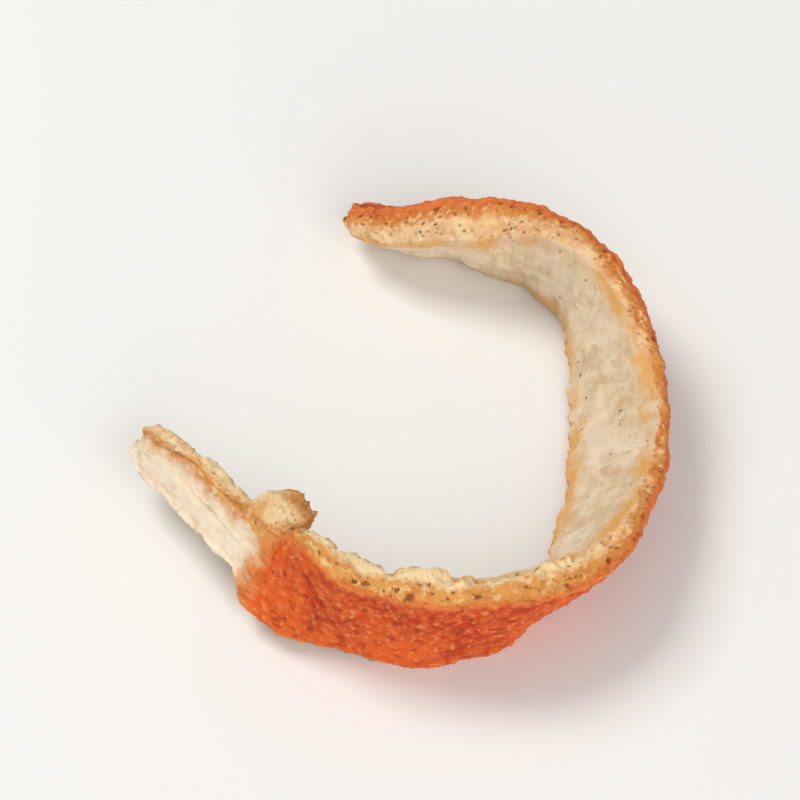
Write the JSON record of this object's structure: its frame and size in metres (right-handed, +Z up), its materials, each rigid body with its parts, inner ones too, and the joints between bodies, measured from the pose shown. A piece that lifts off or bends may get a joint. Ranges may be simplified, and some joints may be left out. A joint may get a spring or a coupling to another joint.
{
  "type": "orange peel",
  "caption": "Curled strip of dried orange peel: a thick cut strip with a pitted rind outside and pale pith inside, lying on its side in an open loop.",
  "frame": {"origin": "on the ground, under the middle of the curl's outline", "axes": "+Z up; +X towards the closed right side of the loop; +Y away from the front, where the rind shows"},
  "size_m": [0.0352, 0.0388, 0.008],
  "materials": {
    "dried_peel": "dry orange rind with raised oil glands, cream pith and golden porous cut sides"
  },
  "bodies": {
    "root": {"peel_curl": "dried_peel"}
  },
  "joints": []
}
